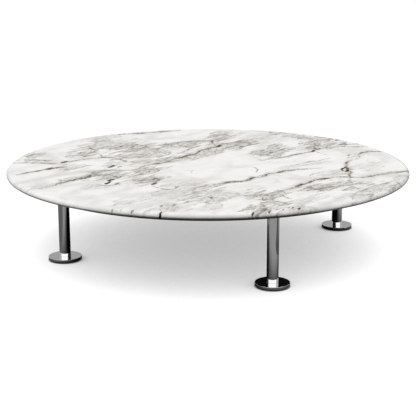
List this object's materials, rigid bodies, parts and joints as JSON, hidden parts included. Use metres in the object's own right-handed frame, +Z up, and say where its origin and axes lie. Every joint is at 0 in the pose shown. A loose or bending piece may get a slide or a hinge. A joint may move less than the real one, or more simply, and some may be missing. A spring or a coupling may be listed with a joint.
{
  "type": "round cocktail table",
  "caption": "Low round table: a veined stone slab with a rounded edge, bonded to a set-back black board on round chromed legs, each ending in a wide disc foot that screws up or down to level it.",
  "frame": {"origin": "on the floor, under the middle of the round top, with the feet screwed fully home", "axes": "+Z up through the middle of the top; X and Y run along the sides of the square of legs"},
  "size_m": [1.3999, 1.4, 0.29],
  "materials": {
    "top_marble": "polished",
    "bond_silicone": "matte",
    "board_black": "black lacquer",
    "leg_chrome": "mirror polished",
    "plate_black": "satin",
    "gasket_rubber": "matte",
    "insert_brass": "machined",
    "screw_steel": "zinc plated",
    "stud_steel": "zinc plated",
    "plug_steel": "turned",
    "sole_plastic": "matte"
  },
  "bodies": {
    "table": {"marble_top": "top_marble", "bond_layer": "bond_silicone", "carrier_board": "board_black", "board_inserts_front_left": "insert_brass", "plate_gasket_front_left": "gasket_rubber", "mount_plate_front_left": "plate_black", "plate_screws_front_left": "screw_steel", "leg_stud_front_left": "stud_steel", "leg_tube_front_left": "leg_chrome", "leg_top_plug_front_left": "plug_steel", "leg_bottom_plug_front_left": "plug_steel", "board_inserts_front_right": "insert_brass", "plate_gasket_front_right": "gasket_rubber", "mount_plate_front_right": "plate_black", "plate_screws_front_right": "screw_steel", "leg_stud_front_right": "stud_steel", "leg_tube_front_right": "leg_chrome", "leg_top_plug_front_right": "plug_steel", "leg_bottom_plug_front_right": "plug_steel", "board_inserts_back_left": "insert_brass", "plate_gasket_back_left": "gasket_rubber", "mount_plate_back_left": "plate_black", "plate_screws_back_left": "screw_steel", "leg_stud_back_left": "stud_steel", "leg_tube_back_left": "leg_chrome", "leg_top_plug_back_left": "plug_steel", "leg_bottom_plug_back_left": "plug_steel", "board_inserts_back_right": "insert_brass", "plate_gasket_back_right": "gasket_rubber", "mount_plate_back_right": "plate_black", "plate_screws_back_right": "screw_steel", "leg_stud_back_right": "stud_steel", "leg_tube_back_right": "leg_chrome", "leg_top_plug_back_right": "plug_steel", "leg_bottom_plug_back_right": "plug_steel"},
    "front_left_sole": {"glide_sole_front_left": "sole_plastic"},
    "front_left_foot": {"foot_stud_front_left": "stud_steel", "foot_disc_front_left": "leg_chrome", "glide_screw_front_left": "screw_steel"},
    "front_right_sole": {"glide_sole_front_right": "sole_plastic"},
    "front_right_foot": {"foot_stud_front_right": "stud_steel", "foot_disc_front_right": "leg_chrome", "glide_screw_front_right": "screw_steel"},
    "back_left_sole": {"glide_sole_back_left": "sole_plastic"},
    "back_left_foot": {"foot_stud_back_left": "stud_steel", "foot_disc_back_left": "leg_chrome", "glide_screw_back_left": "screw_steel"},
    "back_right_sole": {"glide_sole_back_right": "sole_plastic"},
    "back_right_foot": {"foot_stud_back_right": "stud_steel", "foot_disc_back_right": "leg_chrome", "glide_screw_back_right": "screw_steel"}
  },
  "joints": [
    {"name": "front_left_level", "type": "slide", "parent": "table", "child": "front_left_sole", "axis": [0, 0, -1], "range_m": [0, 0.007]},
    {"name": "front_left_turn", "type": "hinge", "parent": "front_left_sole", "child": "front_left_foot", "pos_m": [-0.37265, -0.37265, 0.0135], "axis": [0, 0, -1], "range_deg": [0, 1440]},
    {"name": "front_right_level", "type": "slide", "parent": "table", "child": "front_right_sole", "axis": [0, 0, -1], "range_m": [0, 0.007]},
    {"name": "front_right_turn", "type": "hinge", "parent": "front_right_sole", "child": "front_right_foot", "pos_m": [0.37265, -0.37265, 0.0135], "axis": [0, 0, -1], "range_deg": [0, 1440]},
    {"name": "back_left_level", "type": "slide", "parent": "table", "child": "back_left_sole", "axis": [0, 0, -1], "range_m": [0, 0.007]},
    {"name": "back_left_turn", "type": "hinge", "parent": "back_left_sole", "child": "back_left_foot", "pos_m": [-0.37265, 0.37265, 0.0135], "axis": [0, 0, -1], "range_deg": [0, 1440]},
    {"name": "back_right_level", "type": "slide", "parent": "table", "child": "back_right_sole", "axis": [0, 0, -1], "range_m": [0, 0.007]},
    {"name": "back_right_turn", "type": "hinge", "parent": "back_right_sole", "child": "back_right_foot", "pos_m": [0.37265, 0.37265, 0.0135], "axis": [0, 0, -1], "range_deg": [0, 1440]}
  ],
  "couplings": [
    {"joint": "front_left_level", "follows": "front_left_turn", "m_per_rad": 0.00027852},
    {"joint": "front_right_level", "follows": "front_right_turn", "m_per_rad": 0.00027852},
    {"joint": "back_left_level", "follows": "back_left_turn", "m_per_rad": 0.00027852},
    {"joint": "back_right_level", "follows": "back_right_turn", "m_per_rad": 0.00027852}
  ]
}
